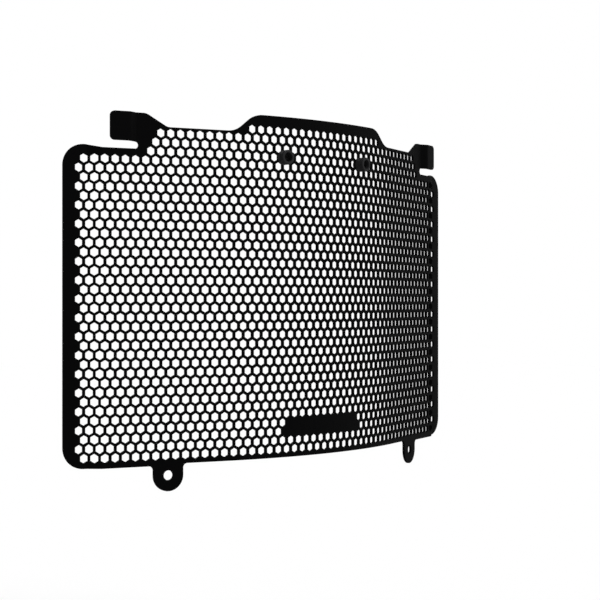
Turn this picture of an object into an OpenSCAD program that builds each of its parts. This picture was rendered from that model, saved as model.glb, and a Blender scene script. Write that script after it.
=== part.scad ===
// Motorcycle radiator guard: one perforated sheet, rolled in the middle and folded at its ends,
// with two hook ears on top, two screw lugs below and two push-in rubber bumpers.
// +X runs along the guard, -Y is the bulged side with the bumpers, +Z is up.
// The origin is the centre of the whole guard's box.

/* [Sheet] */
// Thickness of the sheet
sheet_t = 2; // [1:0.1:2.5]
// Radius of each sharp bend, to the middle of the sheet
bend_r = 2.5; // [2:0.5:6]

/* [Plan curve] */
// Radius of the rolled middle, to the middle of the sheet
arc_r = 283; // [220:1:400]
// Angle that each half of the rolled middle turns through
arc_turn = 18.8; // [16:0.1:24]
// Length of the flat wing between the rolled middle and the step
wing_len = 87; // [86:0.5:110]
// Angle of the step against the wing
step_turn = 19.6; // [5:0.1:30]
// Straight length of the step
step_len = 13; // [8:0.5:25]
// Angle that the end flange turns back from the step
flange_turn = 23.2; // [5:0.1:30]
// Straight length of the end flange
flange_len = 15.3; // [15:0.1:30]

/* [Outline] */
// Height of the sheet at its sides
side_h = 221.7; // [180:0.1:230]
// Rise of the top edge from the wing to the end flange
end_rise = 2; // [0.5:0.1:6]
// Radius of the four outer corners
corner_r = 15; // [4:0.5:15]
// Height of the sheet at its shoulders
shoulder_h = 237.9; // [232:0.1:240]
// Height of the sheet at its raised middle
crown_h = 250.7; // [246:0.1:270]
// Width of the raised middle along its top edge
crown_top_w = 130; // [100:1:140]
// Width of the raised middle where it meets the shoulders
crown_foot_w = 160; // [150:1:170]
// Radius where the top edge changes its height
soft_r = 8; // [2:0.5:10]

/* [Ears] */
// Height of an ear above its slot
ear_h = 20.3; // [14:0.1:26]
// Height of the slot under an ear
slot_h = 5; // [3:0.1:8]
// Distance from the rolled middle to the inner end of the slot
slot_start = 62.7; // [61:0.1:66]
// Distance from the rolled middle to the foot of the ear's slope
slope_foot = 41; // [30:0.5:44]
// Distance from the rolled middle to the top of the ear's slope
slope_top = 57; // [50:0.5:60]
// Distance from the inner end of the slot to the ear's first bend
ear_bend_gap = 1.3; // [0:0.1:4]
// Distance that the ear's outer part stands in front of the wing
ear_step = 4.3; // [2.5:0.1:8]
// Angle of the ear's step against the wing
ear_turn = 37; // [30:1:60]
// Length of the ear's outer part
ear_len = 13.5; // [8:0.5:18]
// Radius of the ear's outer corners
ear_corner_r = 3.4; // [1:0.1:6]

/* [Lugs] */
// Distance from the rolled middle to the middle of the lug
lug_from_arc = 40.5; // [20:0.5:60]
// Width of a lug, round at its end
lug_w = 22.6; // [16:0.1:30]
// Distance from the bottom edge down to the middle of the lug's hole
lug_drop = 7.8; // [4:0.1:15]
// Diameter of the lug's screw hole
lug_hole_d = 7; // [5:0.1:9]
// Radius of the fillets at the lug's root
lug_fillet_r = 3; // [1:0.5:6]

/* [Openings] */
// Spacing of the openings along a row, 7.5 on the real sheet
pitch = 20; // [17:0.25:24]
// Width of the web between two openings
web = 4.95; // [3:0.05:6]
// Distance from the bottom edge to the tips of the lowest openings
bottom_web = 2.9; // [2:0.1:6]
// Least width of sheet between an opening and the other edges
edge_web = 2.5; // [2:0.1:6]
// Width of the bare field near the bottom edge
field_w = 77; // [40:1:100]
// Height of the bare field
field_h = 13; // [10:0.5:40]
// Height of the middle of the bare field above the bottom edge
field_z = 22.4; // [20:0.1:60]

/* [Bumpers] */
// Distance along the sheet from the middle to a bumper
bumper_from_mid = 41.2; // [30:0.1:50]
// Height of the bumpers above the bottom edge
bumper_z = 220.5; // [200:0.1:228]
// Width across the flats of the opening that holds a bumper
seat_w = 5.65; // [5:0.05:7]
// Diameter of a bumper's body
bumper_d = 10.3; // [9.5:0.1:14]
// Distance that a bumper stands out of the sheet
bumper_stand = 6.8; // [6:0.1:15]
// Diameter of the blind hole in a bumper's front
bumper_hole_d = 6.6; // [3:0.1:7.5]
// Depth of the blind hole
bumper_hole_depth = 5; // [2:0.1:5.5]
// Radius of the rounded edges of the rubber
rubber_r = 0.7; // [0.3:0.1:0.9]
// Diameter of the head behind the sheet
head_d = 8.8; // [8:0.1:10]
// Thickness of the head behind the sheet
head_h = 2.6; // [2:0.1:4]
// Clearance between the rubber and the sheet
rubber_fit = 0.05; // [0.05:0.05:0.3]

/* [Hidden] */
$fn = 48;
// Drawings overlap by this much where they are joined
lap = 0.01;
// The blank reaches this far past the outlines that cut it
overlap = 2;
// Flat steps that draw each half of the rolled middle, and each sharp bend
arc_flats = 8;
bend_flats = 3;
// Angle between the flats that round the edges of the rubber
rubber_step = 30;
sheet_colour = "#161616";
rubber_colour = "#2c2c2c";

// Lengths along the middle of the sheet, from the centre outwards
arc_len = arc_r * arc_turn * PI / 180;
step_start = arc_len + wing_len;
step_flat = step_start + bend_r * step_turn * PI / 180;
flange_start = step_flat + step_len;
flange_flat = flange_start + bend_r * flange_turn * PI / 180;
sheet_end = flange_flat + flange_len;

// Plan: [x, y, heading] of the middle of the sheet at the starts of its flat stretches
wing_pose = [arc_r * sin(arc_turn), arc_r * (1 - cos(arc_turn)), arc_turn];
wing_far = along(wing_pose, wing_len);
step_pose = after_bend(wing_far, step_turn);
step_far = along(step_pose, step_len);
flange_pose = after_bend(step_far, -flange_turn);

// Outline
end_corner_r = min(corner_r, flange_len, side_h / 2);
end_h = side_h + end_rise;
slot_end = slot_start + slot_h / 2;
ear_z = side_h + slot_h;
// The flat side and the bent ear part at the slot's middle, or where the end flange ends above it
parting_z = max(side_h + slot_h / 2, end_h);
ear_top = ear_z + ear_h;
crown_top = crown_top_w / 2;
crown_foot = crown_foot_w / 2;
lug_r = lug_w / 2;

// The ear's step: two bends and the straight between them make its distance
ear_turned = 2 * bend_r * (1 - cos(ear_turn));
ear_straight = max((ear_step - ear_turned) / sin(ear_turn), lap);
ear_from = slot_start + ear_bend_gap;
ear_end = ear_from + 2 * bend_r * sin(ear_turn) + ear_straight * cos(ear_turn) + ear_len;

// Corners of the plan from the centre outwards: below the slots the sheet runs on to the end
// flange, above them it ends in an ear
ear_root = along(wing_pose, ear_from);
ear_far = along(after_bend(ear_root, -ear_turn), ear_straight);
root_stops = concat([for (k = [0:arc_flats]) pose(arc_len * k / arc_flats)], [ear_root]);
low_stops = concat(root_stops, [wing_far], bend_stops(wing_far, step_turn), [step_far],
    bend_stops(step_far, -flange_turn), [along(flange_pose, flange_len + overlap)]);
high_stops = concat(root_stops, bend_stops(ear_root, -ear_turn), [ear_far],
    bend_stops(ear_far, ear_turn), [along(after_bend(ear_far, ear_turn), ear_len + overlap)]);
// Place of the flange's start along the plane of the wing
flange_at = wing_len + bend_r * sin(step_turn) + step_len * cos(step_turn)
    + bend_r * (sin(step_turn) - sin(step_turn - flange_turn));
side_depth = 2 * (ear_step + step_len + flange_len + overlap);

// Openings: hexagons with two upright sides
opening_w = pitch - web;
opening_r = opening_w / sqrt(3);
row_step = pitch * sqrt(3) / 2;
first_row = bottom_web + opening_r;
rows = floor((crown_h - edge_web - opening_r - first_row) / row_step);
columns = ceil(sheet_end / pitch);
cut_depth = opening_w + 2 * sheet_t;
// No opening reaches the solid root of an ear, or a bumper's body
perforated_to = slope_top - opening_r;
bumper_reach = opening_r + bumper_d / 2;

// Bumpers
neck_d = seat_w - 2 * rubber_fit;
bumper_pose = pose(bumper_from_mid);
bumper_tip = sheet_t / 2 + bumper_stand;
seat_front = sheet_t / 2 + rubber_fit;
// The head is also clear of the flats and of the curve on the hollow side
seat_back = seat_front + arc_r * (1 - cos(arc_turn / arc_flats / 2)) + pow(head_d / 2, 2) / (2 * arc_r);

// Box of the guard, from which its centre is worked out
front_y = bumper_pose[1] - (bumper_tip - rubber_r) * cos(bumper_pose[2])
    - (bumper_d / 2 - rubber_r) * sin(bumper_pose[2]) - rubber_r;
end_pose = along(flange_pose, flange_len);
back_y = end_pose[1] + cos(end_pose[2]) * sheet_t / 2;
top_z = max(crown_h, ear_top);
low_z = -lug_drop - lug_r;
centre = [0, (front_y + back_y) / 2, (top_z + low_z) / 2];

// A pose moved on by a straight length
function along(p, len) = [p[0] + len * cos(p[2]), p[1] + len * sin(p[2]), p[2]];

// A pose moved on round a bend: to the left of its heading where turn is positive
function after_bend(p, turn) = let (r = sign(turn) * bend_r)
    [p[0] - r * sin(p[2]) + r * sin(p[2] + turn),
     p[1] + r * cos(p[2]) - r * cos(p[2] + turn),
     p[2] + turn];

function bend_stops(p, turn) = [for (k = [1:bend_flats]) after_bend(p, turn * k / bend_flats)];

// Points at distance d behind the middle of the sheet
function beside(stops, d) = [for (p = stops) [p[0] - d * sin(p[2]), p[1] + d * cos(p[2])]];

// Pose of the middle of the sheet at length s from its centre, towards +X
function pose(s) =
    s <= arc_len ? let (a = s / arc_r * 180 / PI) [arc_r * sin(a), arc_r * (1 - cos(a)), a] :
    s <= step_start ? along(wing_pose, s - arc_len) :
    s <= step_flat ? part_bend(wing_far, s - step_start) :
    s <= flange_start ? along(step_pose, s - step_flat) :
    s <= flange_flat ? part_bend(step_far, flange_start - s) :
    along(flange_pose, s - flange_flat);
function part_bend(p, len) = after_bend(p, len / bend_r * 180 / PI);

// Height of the top edge at length s, without the ears
function top_at(s) =
    s < arc_len ? crown_at(arc_r * sin(s / arc_r * 180 / PI)) :
    s < arc_len + perforated_to ? shoulder_h : side_h;
function crown_at(x) =
    x < crown_top ? crown_h :
    x > crown_foot ? shoulder_h :
    crown_h - (crown_h - shoulder_h) * (x - crown_top) / (crown_foot - crown_top);

// True where the sheet reaches at least edge_web beyond a point, whose s is positive
function inside(s, z) =
    s < sheet_end - edge_web && z < top_at(s) - edge_web && z > bottom_web - lap &&
    (s < sheet_end - end_corner_r ||
     norm([s - sheet_end + end_corner_r, max(z - end_h + end_corner_r, end_corner_r - z, 0)])
         < end_corner_r - edge_web);

// True where the corners of an opening centred on a point are all inside
function corners_inside(s, z) =
    min([for (a = [0:60:300]) inside(abs(s + opening_r * sin(a)), z + opening_r * cos(a)) ? 1 : 0]) > 0;

// True where an opening centred on a point is cut
function is_open(s, z) =
    corners_inside(s, z)
    && norm([abs(s) - bumper_from_mid, z - bumper_z]) > bumper_reach
    && !(abs(s) < field_w / 2 && abs(z - field_z) < field_h / 2);

// Puts its children where the middle of the sheet is at length s, with X along the sheet
module on_sheet(s, z = 0) {
    p = pose(abs(s));
    translate([sign(s) * p[0], p[1], z])
        rotate([0, 0, sign(s) * p[2]])
            children();
}

module at_pose(p) {
    translate([p[0], p[1], 0])
        rotate([0, 0, p[2]])
            children();
}

module both_sides() {
    for (side = [0, 1])
        mirror([side, 0, 0])
            children();
}

// Stands a drawing up across the sheet: its X along the sheet and its Y upwards
module across(depth) {
    rotate([90, 0, 0])
        linear_extrude(depth, center = true)
            children();
}

// The sheet from z to top, cut straight off, whose plan follows the stops on both sides
module strip(stops, z, top) {
    front = beside(stops, -sheet_t / 2);
    back = beside(stops, sheet_t / 2);
    last = len(stops) - 1;
    translate([0, 0, z])
        linear_extrude(top - z)
            polygon(concat(front, [for (i = [last:-1:0]) back[i]],
                           [for (i = [1:last]) [-back[i][0], back[i][1]]],
                           [for (i = [last:-1:1]) [-front[i][0], front[i][1]]]));
}

// What rounds the corner at b, between a and c, with radius r: cut off a corner that stands out,
// or added in one that goes in. It reaches past the corner's two edges by the lap.
module corner_sliver(a, b, c, r) {
    u = (a - b) / norm(a - b);
    v = (c - b) / norm(c - b);
    half = acos(u * v) / 2;
    reach = r / tan(half);
    middle = b + (u + v) / norm(u + v) * r / sin(half);
    difference() {
        polygon([middle, b + u * reach, b + u * reach - v * lap, b - (u + v) * lap,
                 b + v * reach - u * lap, b + v * reach]);
        translate(middle)
            circle(r);
    }
}

// Front view of the rolled middle: shoulders all along, with the crown above them
module middle_outline() {
    foot = [crown_foot, shoulder_h];
    top = [crown_top, crown_h];
    difference() {
        union() {
            translate([-wing_pose[0], 0])
                square([2 * wing_pose[0], shoulder_h]);
            polygon([[-crown_foot, 0], [-crown_foot, shoulder_h], [-crown_top, crown_h], top, foot,
                     [crown_foot, 0]]);
            for (side = [0, 1])
                mirror([side, 0])
                    corner_sliver(top, foot, [arc_r, shoulder_h], soft_r);
        }
        for (side = [0, 1])
            mirror([side, 0])
                corner_sliver(foot, top, [0, crown_h], soft_r);
    }
}

// Outline of one side, in the plane of its wing: shoulder, ear, slot, side and lug.
// The end of the sheet itself is cut later.
module side_outline() {
    foot = [slope_foot, shoulder_h];
    top = [slope_top, ear_top];
    outer = [ear_end, ear_top];
    lug = [lug_from_arc, -lug_drop];
    difference() {
        union() {
            polygon([[-overlap, 0], [flange_at + flange_len + overlap, 0],
                     [flange_at + flange_len + overlap, end_h], [flange_at, end_h], [wing_len, side_h],
                     [slot_end, side_h], [slot_end, ear_z], [ear_end, ear_z], outer, top, foot,
                     [-overlap, shoulder_h]]);
            corner_sliver([0, shoulder_h], foot, top, soft_r);
            translate(lug)
                circle(lug_r);
            translate(lug - [lug_r, 0])
                square([lug_w, lug_drop + lap]);
            for (side = [-1, 1])
                translate([lug_from_arc, 0])
                    corner_sliver([side * lug_w, 0], [side * lug_r, 0], [side * lug_r, -lug_drop],
                                  lug_fillet_r);
        }
        corner_sliver(foot, top, outer, soft_r);
        corner_sliver(top, outer, [ear_end, ear_z], ear_corner_r);
        corner_sliver(outer, [ear_end, ear_z], [slot_end, ear_z], ear_corner_r);
        translate([slot_end, side_h + slot_h / 2])
            circle(d = slot_h);
        translate(lug)
            circle(d = lug_hole_d);
    }
}

// What is cut off the end flange: all beyond its length, and its two corners
module end_cut() {
    translate([flange_len, -overlap])
        square([2 * overlap, end_h + 2 * overlap]);
    corner_sliver([0, 0], [flange_len, 0], [flange_len, end_h], end_corner_r);
    corner_sliver([0, end_h], [flange_len, end_h], [flange_len, 0], end_corner_r);
}

// The sheet without its openings
module blank() {
    difference() {
        intersection() {
            union() {
                strip(low_stops, low_z - overlap, parting_z);
                strip(high_stops, parting_z, top_z + overlap);
            }
            union() {
                across(2 * arc_r)
                    middle_outline();
                both_sides()
                    at_pose(wing_pose)
                        across(side_depth)
                            side_outline();
            }
        }
        both_sides()
            at_pose(flange_pose)
                across(cut_depth)
                    end_cut();
    }
}

module opening(width) {
    rotate([90, 0, 0])
        linear_extrude(cut_depth, center = true)
            rotate(30)
                circle(r = width / sqrt(3), $fn = 6);
}

module openings() {
    for (j = [0:rows])
        for (i = [-columns:columns]) {
            s = (i + (j % 2) / 2) * pitch;
            z = first_row + j * row_step;
            if (is_open(s, z))
                on_sheet(s, z)
                    opening(opening_w);
        }
    for (side = [-1, 1])
        on_sheet(side * bumper_from_mid, bumper_z)
            opening(seat_w);
}

module guard_panel() {
    color(sheet_colour)
        translate(-centre)
            difference() {
                blank();
                openings();
            }
}

// A rubber bumper pushed through the sheet, its body on the -Y side
module bumper(side) {
    color(rubber_colour)
        translate(-centre)
            on_sheet(side * bumper_from_mid, bumper_z)
                rotate([90, 0, 0])
                    rotate_extrude()
                        bumper_section();
}

// Half of the bumper's section, with its Y out of the bulged side: a body with a blind hole, a neck
// in the opening and a head behind the sheet
module bumper_section() {
    body_r = bumper_d / 2;
    neck_r = neck_d / 2;
    head_r = head_d / 2;
    hole_r = bumper_hole_d / 2;
    hole_floor = bumper_tip - bumper_hole_depth;
    head_back = -seat_back - head_h;
    polygon(concat([[0, hole_floor], [hole_r, hole_floor], [hole_r, bumper_tip]],
                   rounding([body_r - rubber_r, bumper_tip - rubber_r], 90),
                   [[body_r, seat_front], [neck_r, seat_front], [neck_r, -seat_back],
                    [head_r, -seat_back]],
                   rounding([head_r - rubber_r, head_back + rubber_r], 0),
                   [[0, head_back]]));
}

// Points of a quarter round about a middle, clockwise from an angle
function rounding(middle, from) = [for (a = [0:rubber_step:90])
    middle + rubber_r * [cos(from - a), sin(from - a)]];

module bumper_left() {
    bumper(-1);
}

module bumper_right() {
    bumper(1);
}

guard_panel();
bumper_left();
bumper_right();
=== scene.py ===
import math

import bmesh
import bpy
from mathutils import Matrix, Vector


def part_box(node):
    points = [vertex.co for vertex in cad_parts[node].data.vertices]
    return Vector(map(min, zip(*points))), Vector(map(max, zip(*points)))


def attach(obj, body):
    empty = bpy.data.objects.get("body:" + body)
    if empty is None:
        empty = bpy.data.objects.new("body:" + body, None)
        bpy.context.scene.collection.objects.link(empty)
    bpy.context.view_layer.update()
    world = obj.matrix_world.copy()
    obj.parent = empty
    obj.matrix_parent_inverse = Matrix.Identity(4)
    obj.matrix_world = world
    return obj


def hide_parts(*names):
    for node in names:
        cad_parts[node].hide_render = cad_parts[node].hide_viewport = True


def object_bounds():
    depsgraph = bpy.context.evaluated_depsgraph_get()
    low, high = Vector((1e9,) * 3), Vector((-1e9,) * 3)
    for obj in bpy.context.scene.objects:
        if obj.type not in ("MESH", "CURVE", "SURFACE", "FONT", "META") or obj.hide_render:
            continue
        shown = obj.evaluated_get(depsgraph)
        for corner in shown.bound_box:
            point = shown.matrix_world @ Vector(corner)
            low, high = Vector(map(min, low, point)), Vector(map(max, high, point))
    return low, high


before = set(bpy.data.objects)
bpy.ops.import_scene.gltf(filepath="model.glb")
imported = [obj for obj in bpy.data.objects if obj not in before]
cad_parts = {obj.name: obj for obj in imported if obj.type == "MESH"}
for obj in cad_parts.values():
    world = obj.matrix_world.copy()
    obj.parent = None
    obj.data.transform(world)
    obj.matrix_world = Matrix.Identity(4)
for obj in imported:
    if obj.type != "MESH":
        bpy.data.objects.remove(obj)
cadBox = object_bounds()

# The guard's lengths are in millimetres and its angles in degrees, as on a drawing of the part.
# A place on the flat sheet is s along it from its middle, and z up from its bottom edge.

mm = 0.001
touching = 0.001 * mm  # points that are closer than this are one point
creaseTurn = 30  # an edge where a surface turns by more than this stays sharp

sheet = {
    "thickness": 2,
    "edgeChamfer": 0.15,
    "arcRadius": 283,
    "arcTurn": 18.8,  # of each half of the rolled middle
    "arcSteps": 24,
    "bendRadius": 2.5,
    "bendSteps": 4,
    "wingLength": 89.1,
    "stepTurn": 28.7,
    "stepLength": 9,
    "flangeTurn": 32.8,
    "flangeLength": 16.75,
    "weld": 0.01,  # cut edges and faces that are closer than this are joined
}

outline = {
    "sideHeight": 221.7,
    "middleRise": 0.2,  # how far the bottom edge lies higher between the lugs
    "sideDrop": 0.9,  # how far it lies lower beyond the lugs
    "endRise": 2,
    "cornerRadius": 15,
    "shoulderHeight": 237.9,
    "crownHeight": 250.7,
    "crownTop": 65,  # half of the crown's width at its top, straight across
    "crownFoot": 80,
    "crownRadius": 18,
    "softRadius": 8,
    "slopeFoot": 41,  # along the sheet from the end of the roll, like the slot and the lug
    "slopeTop": 57,
    "slotStart": 62.7,
    "slotHeight": 5,
    "earHeight": 20.3,
    "earBendGap": 1.3,  # from the inner end of the slot to the ear's first bend
    "earStep": 4.3,
    "earTurn": 37,
    "earLength": 13.5,
    "earCorner": 3.4,
    "lugPlace": 40.5,
    "lugWidth": 22.6,
    "lugDrop": 7.8,
    "lugHole": 7,
    "lugHoleSides": 40,
    "lugFillet": 3,
    "pointTurn": 7.5,  # the most that a round corner turns between two points
    "pointSpacing": 4,  # the longest stretch between two points
}

openings = {
    "pitch": 7.5,
    "width": 5.65,
    "lowestRow": 6.2,  # middle of the lowest row, above the bottom edge
    "wideRows": 33,  # rows that run from end flange to end flange
    "wideReach": 53,  # in half pitches from the middle
    "shoulderRows": 3,
    "shoulderReach": 39,
    "crownReach": 18,
    "bareReach": {2: 10, 3: 9},  # the rows that have a bare middle, and how far it reaches
}

# The plan of the sheet, walked from its middle outwards

def straight(length):
    return {"length": length}


def bend(radius, turn, steps):
    return {"radius": radius, "turn": math.radians(turn), "steps": steps}


def sharpBend(turn):
    return bend(sheet["bendRadius"], turn, sheet["bendSteps"])


def walk(moves):
    # gives the points of the middle line, and the length walked at the end of each move
    place, heading, walked = Vector((0, 0)), 0, 0
    points, ends = [place], []
    for move in moves:
        steps = move.get("steps", 1)
        turn = move.get("turn", 0) / steps
        length = move["length"] if "length" in move else move["radius"] * abs(turn)
        chord = move["length"] if "length" in move else 2 * move["radius"] * math.sin(abs(turn) / 2)
        for _ in range(steps):
            way = heading + turn / 2
            place = place + chord * Vector((math.cos(way), math.sin(way)))
            heading += turn
            walked += length
            points.append(place)
        ends.append(walked)
    return points, ends


def foldLines(ends):
    # where a plan turns in its two sharp bends, which are its third and its fifth move
    steps = sheet["bendSteps"]
    bends = ((ends[1], ends[2]), (ends[3], ends[4]))
    return [start + (end - start) * step / steps for start, end in bends for step in range(steps + 1)]


roll = bend(sheet["arcRadius"], sheet["arcTurn"], sheet["arcSteps"])
sheetLine, sheetEnds = walk([
    roll, straight(sheet["wingLength"]),
    sharpBend(sheet["stepTurn"]), straight(sheet["stepLength"]),
    sharpBend(-sheet["flangeTurn"]), straight(sheet["flangeLength"])])
rollEnd, wingEnd, _, _, flangeStart, sheetEnd = sheetEnds

earTurn = math.radians(outline["earTurn"])
earRise = outline["earStep"] - 2 * sheet["bendRadius"] * (1 - math.cos(earTurn))
earLine, earEnds = walk([
    roll, straight(outline["slotStart"] + outline["earBendGap"]),
    sharpBend(-outline["earTurn"]), straight(earRise / math.sin(earTurn)),
    sharpBend(outline["earTurn"]), straight(outline["earLength"])])
_, earStart, _, _, _, earEnd = earEnds
slotMiddle = outline["sideHeight"] + outline["slotHeight"] / 2

# Where the middle of the flat sheet's bottom edge comes to lie
low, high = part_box("guard_panel")
foot = Vector((0, low.y + sheet["thickness"] / 2 * mm, high.z - outline["crownHeight"] * mm))


def linked(name, data):
    made = bpy.data.objects.new(name, data)
    bpy.context.scene.collection.objects.link(made)
    return made


def lineCurve(name, points):
    # the whole plan, left end to right end, as a curve that the folding tree samples
    whole = [Vector((-x, y)) for x, y in reversed(points[1:])] + points
    curve = bpy.data.curves.new(name, "CURVE")
    curve.dimensions = "3D"
    spline = curve.splines.new("POLY")
    spline.points.add(len(whole) - 1)
    for point, (x, y) in zip(spline.points, whole):
        point.co = (x * mm, y * mm, 0, 1)
    return linked(name, curve)


# The outline of the flat sheet

def outlineCorners():
    # the place and radius of each corner, with the metal on the left as one walks from one to the next
    side, drop, soft = outline["sideHeight"], outline["sideDrop"], outline["softRadius"]
    endTop, endRadius = side + outline["endRise"], outline["cornerRadius"]
    lug, lugRadius = rollEnd + outline["lugPlace"], outline["lugWidth"] / 2
    lugEnd, lugFillet = -outline["lugDrop"] - lugRadius, outline["lugFillet"]
    slot, slotRadius = rollEnd + outline["slotStart"], outline["slotHeight"] / 2
    earFoot, earCorner = side + outline["slotHeight"], outline["earCorner"]
    earTop = earFoot + outline["earHeight"]
    shoulder, crownRadius = outline["shoulderHeight"], outline["crownRadius"]
    arcRadius = sheet["arcRadius"]
    crownFoot, crownTop = (
        arcRadius * math.asin(outline[width] / arcRadius) for width in ("crownFoot", "crownTop"))
    right = [
        (lug - lugRadius, outline["middleRise"], lugFillet), (lug - lugRadius, lugEnd, lugRadius),
        (lug + lugRadius, lugEnd, lugRadius), (lug + lugRadius, -drop, lugFillet),
        (sheetEnd, -drop, endRadius), (sheetEnd, endTop, endRadius),
        (flangeStart, endTop, 0), (wingEnd, side, 0),
        (slot, side, slotRadius), (slot, earFoot, slotRadius),
        (earEnd, earFoot, earCorner), (earEnd, earTop, earCorner),
        (rollEnd + outline["slopeTop"], earTop, soft),
        (rollEnd + outline["slopeFoot"], shoulder, soft),
        (crownFoot, shoulder, crownRadius),
        (crownTop, outline["crownHeight"], crownRadius),
    ]
    return right + [(-s, z, radius) for s, z, radius in reversed(right)]


def turned(vector, angle):
    cosine, sine = math.cos(angle), math.sin(angle)
    return Vector((cosine * vector.x - sine * vector.y, sine * vector.x + cosine * vector.y))


def rounded(corners):
    points = []
    for index, (s, z, radius) in enumerate(corners):
        corner = Vector((s, z))
        if radius == 0:
            points.append(corner)
            continue
        back = (Vector(corners[index - 1][:2]) - corner).normalized()
        on = (Vector(corners[(index + 1) % len(corners)][:2]) - corner).normalized()
        half = back.angle(on) / 2
        middle = corner + (back + on).normalized() * radius / math.sin(half)
        spoke = corner + back * radius / math.tan(half) - middle
        sweep = math.copysign(math.pi - 2 * half, on.cross(back))
        steps = math.ceil(abs(math.degrees(sweep)) / outline["pointTurn"])
        points += [middle + turned(spoke, sweep * step / steps) for step in range(steps + 1)]
    return points


def spaced(points):
    # drops doubled points and divides the long straights, so that the sheet follows its roll there
    made = []
    for index, point in enumerate(points):
        onward = points[(index + 1) % len(points)] - point
        if onward.length * mm > touching:
            pieces = math.ceil(onward.length / outline["pointSpacing"])
            made += [point + onward * piece / pieces for piece in range(pieces)]
    return made


def ring(radius, sides, place=(0, 0)):
    # clockwise, so that the metal is on the left as one walks round the hole
    angles = [2 * math.pi * side / sides for side in range(sides)]
    return [Vector(place) + radius * Vector((math.sin(angle), math.cos(angle))) for angle in angles]


def rimMesh(name, loops):
    # the cut edge of the sheet round each loop: a wall between two small chamfers, open at both faces
    half, chamfer = sheet["thickness"] / 2, sheet["edgeChamfer"]
    levels = [(chamfer, -half), (0, chamfer - half), (0, half - chamfer), (chamfer, half)]
    rows = len(levels)
    verts, faces = [], []
    for loop in loops:
        first, count = len(verts), len(loop)
        for index, point in enumerate(loop):
            before = (point - loop[index - 1]).normalized()
            after = (loop[(index + 1) % count] - point).normalized()
            left = [Vector((-way.y, way.x)) for way in (before, after)]
            inward = (left[0] + left[1]) / (1 + left[0].dot(left[1]))
            for offset, height in levels:
                s, z = point + inward * offset
                verts.append((s * mm, z * mm, height * mm))
        for index in range(count):
            here, there = first + rows * index, first + rows * ((index + 1) % count)
            faces += [(here + row, there + row, there + row + 1, here + row + 1) for row in range(rows - 1)]
    mesh = bpy.data.meshes.new(name)
    mesh.from_pydata(verts, [], faces)
    return mesh


# Places of the openings

def rowReach(row):
    # up the shoulders, each row ends half a pitch further in at either side
    if row < openings["wideRows"]:
        return openings["wideReach"]
    above = row - openings["wideRows"]
    return openings["shoulderReach"] - above if above < openings["shoulderRows"] else openings["crownReach"]


def openingPlaces():
    rowStep = openings["pitch"] * math.sqrt(3) / 2
    rows = openings["wideRows"] + openings["shoulderRows"] + 1
    places = []
    for row in range(rows):
        reach, bare = rowReach(row), openings["bareReach"].get(row, -1)
        for column in range(-reach, reach + 1):
            if column % 2 == row % 2 and abs(column) > bare:
                places.append((column * openings["pitch"] / 2, openings["lowestRow"] + row * rowStep))
    return places


# Building node trees

def newTree(name, inputs):
    tree = bpy.data.node_groups.new(name, "GeometryNodeTree")
    tree.interface.new_socket("Geometry", in_out="INPUT", socket_type="NodeSocketGeometry")
    for label, kind in inputs.items():
        tree.interface.new_socket(label, in_out="INPUT", socket_type=kind)
    tree.interface.new_socket("Geometry", in_out="OUTPUT", socket_type="NodeSocketGeometry")
    return tree, tree.nodes.new("NodeGroupInput").outputs


def add(tree, kind, inputs, **settings):
    # makes a node, links or sets each of its inputs, and gives its outputs
    made = tree.nodes.new(kind)
    for label, value in settings.items():
        setattr(made, label, value)
    for key, value in inputs.items():
        for one in value if isinstance(value, list) else [value]:
            if isinstance(one, bpy.types.NodeSocket):
                tree.links.new(one, made.inputs[key])
            else:
                made.inputs[key].default_value = one
    return made.outputs


def maths(tree, operation, *values):
    return add(tree, "ShaderNodeMath", dict(enumerate(values)), operation=operation)["Value"]


def vectorMaths(tree, operation, *values):
    return add(tree, "ShaderNodeVectorMath", dict(enumerate(values)), operation=operation)["Vector"]


def isGreater(tree, value, limit):
    return add(tree, "FunctionNodeCompare", {0: value, 1: limit}, operation="GREATER_THAN")["Result"]


def both(tree, one, other):
    return add(tree, "FunctionNodeBooleanMath", {0: one, 1: other}, operation="AND")["Boolean"]


def joined(tree, parts):
    return add(tree, "GeometryNodeJoinGeometry", {"Geometry": parts})["Geometry"]


def shaped(name, mesh, tree, values):
    # runs a tree on a mesh and gives what it makes, as a plain mesh object
    piece = linked(name, mesh)
    modifier = piece.modifiers.new("shape", "NODES")
    modifier.node_group = tree
    for socket in tree.interface.items_tree:
        if socket.in_out == "INPUT" and socket.name in values:
            modifier[socket.identifier] = values[socket.name]
    result = bpy.data.meshes.new_from_object(piece.evaluated_get(bpy.context.evaluated_depsgraph_get()))
    piece.modifiers.remove(modifier)
    piece.data = result
    result.name = name
    return piece


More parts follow.
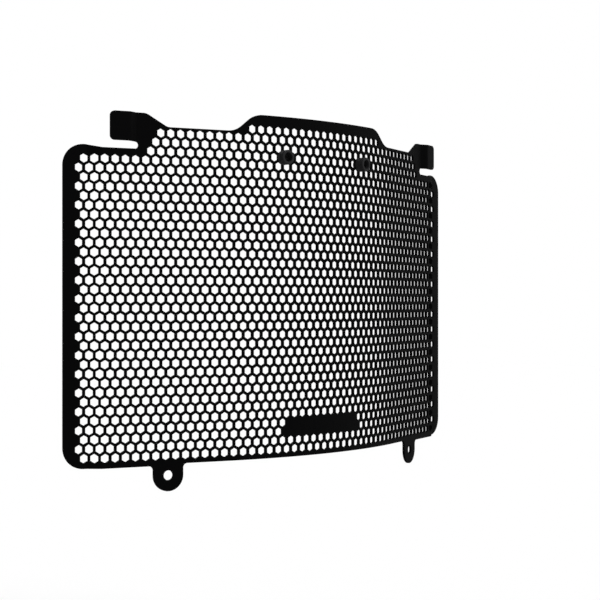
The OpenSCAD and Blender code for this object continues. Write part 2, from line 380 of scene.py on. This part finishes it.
def perforatedTree():
    # stands the walls of an opening on each point, adds the rims, and closes both faces between them
    tree, given = newTree("perforatedSheet", {
        "Rims": "NodeSocketObject", "Opening": "NodeSocketObject", "Thickness": "NodeSocketFloat"})
    opening = add(tree, "GeometryNodeObjectInfo", {"Object": given["Opening"]})
    rims = add(tree, "GeometryNodeObjectInfo", {"Object": given["Rims"]})
    placed = add(tree, "GeometryNodeInstanceOnPoints", {
        "Points": given["Geometry"], "Instance": opening["Geometry"]})
    real = add(tree, "GeometryNodeRealizeInstances", {"Geometry": placed["Instances"]})
    walls = joined(tree, [real["Geometry"], rims["Geometry"]])
    neighbours = add(tree, "GeometryNodeInputMeshEdgeNeighbors", {})["Face Count"]
    # inputs 2 and 3 are the whole numbers that are compared
    isOpen = add(tree, "FunctionNodeCompare", {2: neighbours, 3: 1}, data_type="INT", operation="EQUAL")
    place = add(tree, "GeometryNodeInputPosition", {})["Position"]
    height = add(tree, "ShaderNodeSeparateXYZ", {"Vector": place})["Z"]
    faces = []
    for side in (1, -1):
        toward = maths(tree, "MULTIPLY", height, side)
        onSide = isGreater(tree, toward, 0.0)
        chosen = both(tree, isOpen["Result"], onSide)
        loops = add(tree, "GeometryNodeMeshToCurve", {"Mesh": walls, "Selection": chosen})["Curve"]
        filled = add(tree, "GeometryNodeFillCurve", {"Curve": loops}, mode="TRIANGLES")["Mesh"]
        # Fill Curve leaves its face at the middle of the sheet
        offset = maths(tree, "MULTIPLY", given["Thickness"], side / 2)
        shift = add(tree, "ShaderNodeCombineXYZ", {"Z": offset})["Vector"]
        face = add(tree, "GeometryNodeSetPosition", {"Geometry": filled, "Offset": shift})
        faces.append(face["Geometry"])
    closed = add(tree, "GeometryNodeMergeByDistance", {
        "Geometry": joined(tree, [walls] + faces), "Distance": sheet["weld"] * mm})
    add(tree, "NodeGroupOutput", {"Geometry": closed["Geometry"]})
    return tree


def foldingTree():
    # lays the flat sheet along its plan, with the ears along theirs
    tree, given = newTree("foldedSheet", {
        "Sheet line": "NodeSocketObject", "Ear line": "NodeSocketObject", "Slot height": "NodeSocketFloat",
        "Ear start": "NodeSocketFloat", "Foot": "NodeSocketVector", "Material": "NodeSocketMaterial"})
    place = add(tree, "GeometryNodeInputPosition", {})["Position"]
    flat = add(tree, "ShaderNodeSeparateXYZ", {"Vector": place})
    upward = add(tree, "ShaderNodeCombineXYZ", {"Z": flat["Y"]})["Vector"]
    folded = []
    for line in ("Sheet line", "Ear line"):
        curve = add(tree, "GeometryNodeObjectInfo", {"Object": given[line]})["Geometry"]
        whole = add(tree, "GeometryNodeCurveLength", {"Curve": curve})["Length"]
        # the curve starts at the left end, half of its length before the middle
        walked = maths(tree, "MULTIPLY_ADD", whole, 0.5, flat["X"])
        at = add(tree, "GeometryNodeSampleCurve", {"Curves": curve, "Length": walked}, mode="LENGTH")
        front = vectorMaths(tree, "CROSS_PRODUCT", at["Tangent"], (0, 0, 1))
        off = add(tree, "ShaderNodeVectorMath", {0: front, "Scale": flat["Z"]}, operation="SCALE")["Vector"]
        raised = vectorMaths(tree, "ADD", at["Position"], upward)
        folded.append(vectorMaths(tree, "ADD", raised, off))
    isAbove = isGreater(tree, flat["Y"], given["Slot height"])
    isBeyond = isGreater(tree, maths(tree, "ABSOLUTE", flat["X"]), given["Ear start"])
    chosen = add(tree, "GeometryNodeSwitch", {
        "Switch": both(tree, isAbove, isBeyond), "False": folded[0], "True": folded[1]}, input_type="VECTOR")
    final = vectorMaths(tree, "ADD", chosen["Output"], given["Foot"])
    bent = add(tree, "GeometryNodeSetPosition", {"Geometry": given["Geometry"], "Position": final})
    coated = add(tree, "GeometryNodeSetMaterial", {
        "Geometry": bent["Geometry"], "Material": given["Material"]})
    add(tree, "NodeGroupOutput", {"Geometry": coated["Geometry"]})
    return tree


# Finishes

coat = {
    "colour": (0.0009, 0.0009, 0.00095, 1),
    "paleColour": (0.0018, 0.0018, 0.0019, 1),
    "roughness": 0.6,
    "roughSpread": 0.06,
    "specular": 0.012,
    "grainSize": 0.9,
    "grainDepth": 0.02,
}

rubber = {
    "colour": (0.011, 0.011, 0.0115, 1),
    "paleColour": (0.018, 0.018, 0.0185, 1),
    "roughness": 0.7,
    "roughSpread": 0.06,
    "specular": 0.06,
    "grainSize": 0.35,
    "grainDepth": 0.03,
}


def grainGroup():
    # a fine grain and the bumps that it makes, with its sizes in millimetres
    group = bpy.data.node_groups.new("surfaceGrain", "ShaderNodeTree")
    for label in ("Size", "Depth"):
        group.interface.new_socket(label, in_out="INPUT", socket_type="NodeSocketFloat")
    group.interface.new_socket("Grain", in_out="OUTPUT", socket_type="NodeSocketFloat")
    group.interface.new_socket("Normal", in_out="OUTPUT", socket_type="NodeSocketVector")
    given = group.nodes.new("NodeGroupInput").outputs
    place = add(group, "ShaderNodeTexCoord", {})["Object"]
    scale = maths(group, "DIVIDE", 1 / mm, given["Size"])
    noise = add(group, "ShaderNodeTexNoise", {"Vector": place, "Scale": scale, "Detail": 2})["Fac"]
    depth = maths(group, "MULTIPLY", given["Depth"], mm)
    normal = add(group, "ShaderNodeBump", {"Height": noise, "Distance": depth})["Normal"]
    add(group, "NodeGroupOutput", {"Grain": noise, "Normal": normal})
    return group


surfaceGrain = grainGroup()


def grainyMaterial(name, finish):
    made = bpy.data.materials.new(name)
    made.use_nodes = True
    tree = made.node_tree
    shader = tree.nodes["Principled BSDF"]
    grain = tree.nodes.new("ShaderNodeGroup")
    grain.node_tree = surfaceGrain
    grain.inputs["Size"].default_value = finish["grainSize"]
    grain.inputs["Depth"].default_value = finish["grainDepth"]
    middle, spread = finish["roughness"], finish["roughSpread"]
    rough = add(tree, "ShaderNodeMapRange", {
        "Value": grain.outputs["Grain"], "To Min": middle - spread, "To Max": middle + spread})
    # inputs 6 and 7 are the two colours that are mixed, and output 2 is their mixture
    tint = add(tree, "ShaderNodeMix", {
        "Factor": grain.outputs["Grain"], 6: finish["colour"], 7: finish["paleColour"]}, data_type="RGBA")
    tree.links.new(tint[2], shader.inputs["Base Color"])
    tree.links.new(rough["Result"], shader.inputs["Roughness"])
    tree.links.new(grain.outputs["Normal"], shader.inputs["Normal"])
    shader.inputs["Specular IOR Level"].default_value = finish["specular"]
    return made


# The guard's sheet

def cutAt(mesh, lines):
    # divides a flat mesh along upright lines, so that it can be folded there
    work = bmesh.new()
    work.from_mesh(mesh)
    for line in lines:
        everything = work.verts[:] + work.edges[:] + work.faces[:]
        bmesh.ops.bisect_plane(
            work, geom=everything, dist=touching, plane_co=(line * mm, 0, 0), plane_no=(1, 0, 0))
    work.to_mesh(mesh)
    work.free()


def tidyMesh(mesh):
    # turns the faces outwards, keeps crease lines sharp and reports the mesh
    work = bmesh.new()
    work.from_mesh(mesh)
    bmesh.ops.recalc_face_normals(work, faces=work.faces[:])
    loose = sum(1 for edge in work.edges if len(edge.link_faces) != 2)
    work.to_mesh(mesh)
    work.free()
    mesh.shade_smooth()
    mesh.set_sharp_from_angle(angle=math.radians(creaseTurn))
    triangles = sum(len(face.vertices) - 2 for face in mesh.polygons)
    print(mesh.name, "has", triangles, "triangles and", loose, "open edges")


def makeSheet(material):
    hexagon = ring(openings["width"] / math.sqrt(3), sides=6)
    lug = rollEnd + outline["lugPlace"]
    holePlaces = [(side * lug, -outline["lugDrop"]) for side in (-1, 1)]
    lugHoles = [ring(outline["lugHole"] / 2, outline["lugHoleSides"], place) for place in holePlaces]
    rims = linked("rims", rimMesh("rims", [spaced(rounded(outlineCorners()))] + lugHoles))
    opening = linked("opening", rimMesh("opening", [hexagon]))
    lines = [lineCurve("sheetPlan", sheetLine), lineCurve("earPlan", earLine)]
    places = openingPlaces()
    centres = bpy.data.meshes.new("openingPlaces")
    centres.from_pydata([(s * mm, z * mm, 0) for s, z in places], [], [])
    flat = shaped("flatSheet", centres, perforatedTree(), {
        "Rims": rims, "Opening": opening, "Thickness": sheet["thickness"] * mm})
    print("flat sheet with", len(places), "openings")
    folds = foldLines(sheetEnds) + foldLines(earEnds)
    cutAt(flat.data, [side * fold for fold in folds for side in (-1, 1)])
    guard = shaped("guard_sheet", flat.data, foldingTree(), {
        "Sheet line": lines[0], "Ear line": lines[1], "Slot height": slotMiddle * mm,
        "Ear start": earStart * mm, "Foot": foot, "Material": material})
    tidyMesh(guard.data)
    for helper in [rims, opening, flat] + lines:
        bpy.data.objects.remove(helper)
    return guard


# The rubber bumpers

bumper = {
    "fromMiddle": 41.2,  # along the sheet
    "height": 220.5,
    "diameter": 10.8,
    "stand": 6.75,
    "holeDiameter": 7,
    "holeDepth": 5,
    "neckDiameter": 5.55,
    "headDiameter": 7.3,
    "headHeight": 1.8,
    "seat": 0.05,  # clear of the sheet's front
    "headSeat": 0.14,  # clear of its back
    "round": 0.7,
    "mouthRound": 0.25,
    "roundSteps": 5,
    "turns": 64,
}


def quarter(middle, radius, start):
    # a rounded edge of the bumper's profile, walked clockwise
    steps = bumper["roundSteps"]
    angles = [math.radians(start - 90 * step / steps) for step in range(steps + 1)]
    return [(middle[0] + radius * math.cos(angle), middle[1] + radius * math.sin(angle)) for angle in angles]


def bumperProfile():
    # distances from the bumper's axis, and heights above the middle of the sheet
    half = sheet["thickness"] / 2
    tip, front, back = half + bumper["stand"], half + bumper["seat"], -half - bumper["headSeat"]
    body, hole = bumper["diameter"] / 2, bumper["holeDiameter"] / 2
    neck, head = bumper["neckDiameter"] / 2, bumper["headDiameter"] / 2
    edge, mouth, headEnd = bumper["round"], bumper["mouthRound"], back - bumper["headHeight"]
    holeFloor = tip - bumper["holeDepth"]
    return ([(0, holeFloor), (hole - mouth, holeFloor), (hole, holeFloor + mouth)]
            + quarter((hole + mouth, tip - mouth), mouth, 180)
            + quarter((body - edge, tip - edge), edge, 90)
            + [(body, front), (neck, front), (neck, back), (head, back)]
            + quarter((head - edge, headEnd + edge), edge, 0) + [(0, headEnd)])


def makeBumper(name, side, material):
    lean = bumper["fromMiddle"] / sheet["arcRadius"]
    arcRadius = sheet["arcRadius"] * mm
    across, back = side * arcRadius * math.sin(lean), arcRadius * (1 - math.cos(lean))
    seat = foot + Vector((across, back, bumper["height"] * mm))
    outward = Vector((side * math.sin(lean), -math.cos(lean), 0))
    along = Vector((math.cos(lean), side * math.sin(lean), 0))
    profile, turns = bumperProfile(), bumper["turns"]
    work = bmesh.new()
    rings = []
    for turn in range(turns):
        angle = 2 * math.pi * turn / turns
        spoke = along * math.cos(angle) + Vector((0, 0, math.sin(angle)))
        points = [seat + (outward * height + spoke * reach) * mm for reach, height in profile]
        rings.append([work.verts.new(point) for point in points])
    for turn, here in enumerate(rings):
        there = rings[(turn + 1) % turns]
        for row in range(len(profile) - 1):
            work.faces.new((here[row], there[row], there[row + 1], here[row + 1]))
    bmesh.ops.remove_doubles(work, verts=work.verts[:], dist=touching)
    mesh = bpy.data.meshes.new(name)
    work.to_mesh(mesh)
    work.free()
    mesh.materials.append(material)
    tidyMesh(mesh)
    return linked(name, mesh)


powderCoat = grainyMaterial("powderCoat", coat)
softRubber = grainyMaterial("softRubber", rubber)
print("finishes made")

guard = makeSheet(powderCoat)
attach(guard, "root")
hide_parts("guard_panel")
print("sheet made")

for label, side in (("left", -1), ("right", 1)):
    made = makeBumper("rubber_bumper_" + label, side, softRubber)
    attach(made, "root")
    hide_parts("bumper_" + label)
print("bumpers made")


# Studio, with its lengths in metres

white = (1, 1, 1, 1)

camera = {"place": (-0.8126, -0.8126, 0.0001), "heading": -45, "lens": 90, "sensor": 36}

studio = {
    "floorDrop": 0.22,  # below the guard's lowest point
    "floorSize": 12,
    "floorColour": 0.85,
    "floorRoughness": 0.9,
    "fill": 0.35,  # strength of the light from all around
    "softness": 35,  # width of each lamp in the sky, in degrees
}

# Where each lamp stands, seen from the guard, and its strength
lamps = {
    "keyLamp": {"toward": (0.1, -0.85, 0.75), "strength": 2.2},
    "sideLamp": {"toward": (0.9, -0.35, 0.45), "strength": 0.6},
    "backLamp": {"toward": (0.1, 0.9, 0.6), "strength": 0.8},
}


def raySwitch(tree):
    # 1 for what the camera, a gloss or a clear material sees, and 0 for what lights the guard
    ray = add(tree, "ShaderNodeLightPath", {})
    seen = maths(tree, "MAXIMUM", ray["Is Camera Ray"], ray["Is Glossy Ray"])
    return maths(tree, "MAXIMUM", seen, ray["Is Transmission Ray"])


def floorLight():
    # what falls on the open floor, where 1 shows a colour as it is written
    fromLamps = [lamp["strength"] * Vector(lamp["toward"]).normalized().z for lamp in lamps.values()]
    return studio["fill"] + sum(fromLamps) / math.pi


def makeFloor():
    size, height = studio["floorSize"] / 2, cadBox[0].z - studio["floorDrop"]
    corners = [(x * size, y * size, height) for x, y in ((-1, -1), (1, -1), (1, 1), (-1, 1))]
    mesh = bpy.data.meshes.new("floor")
    mesh.from_pydata(corners, [], [(0, 1, 2, 3)])
    pale = bpy.data.materials.new("paleFloor")
    pale.use_nodes = True
    tree = pale.node_tree
    shader = tree.nodes["Principled BSDF"]
    shader.inputs["Base Color"].default_value = (studio["floorColour"],) * 3 + (1,)
    shader.inputs["Roughness"].default_value = studio["floorRoughness"]
    shader.inputs["Specular IOR Level"].default_value = 0
    # the open floor is seen white, and a shadow on it stays
    missing = 1 - studio["floorColour"] * floorLight()
    shader.inputs["Emission Color"].default_value = white
    tree.links.new(maths(tree, "MULTIPLY", raySwitch(tree), missing), shader.inputs["Emission Strength"])
    mesh.materials.append(pale)
    linked("floor", mesh)


def makeWorld():
    world = bpy.data.worlds.new("studio")
    world.use_nodes = True
    tree = world.node_tree
    strength = add(tree, "ShaderNodeMapRange", {
        "Value": raySwitch(tree), "To Min": studio["fill"], "To Max": 1.0})
    tree.nodes["Background"].inputs["Color"].default_value = white
    tree.links.new(strength["Result"], tree.nodes["Background"].inputs["Strength"])
    bpy.context.scene.world = world


def makeLamp(name, lamp):
    light = bpy.data.lights.new(name, "SUN")
    light.energy, light.angle = lamp["strength"], math.radians(studio["softness"])
    made = linked(name, light)
    made.location = lamp["toward"]
    made.rotation_euler = Vector(lamp["toward"]).to_track_quat("Z", "Y").to_euler()


def makeCamera():
    data = bpy.data.cameras.new("camera")
    data.lens, data.sensor_width = camera["lens"], camera["sensor"]
    made = linked("camera", data)
    made.location = camera["place"]
    made.rotation_euler = (math.pi / 2, 0, math.radians(camera["heading"]))
    bpy.context.scene.camera = made


makeFloor()
makeWorld()
makeCamera()
for name, lamp in lamps.items():
    makeLamp(name, lamp)
bpy.context.scene.view_settings.view_transform = "Standard"
print("studio made")
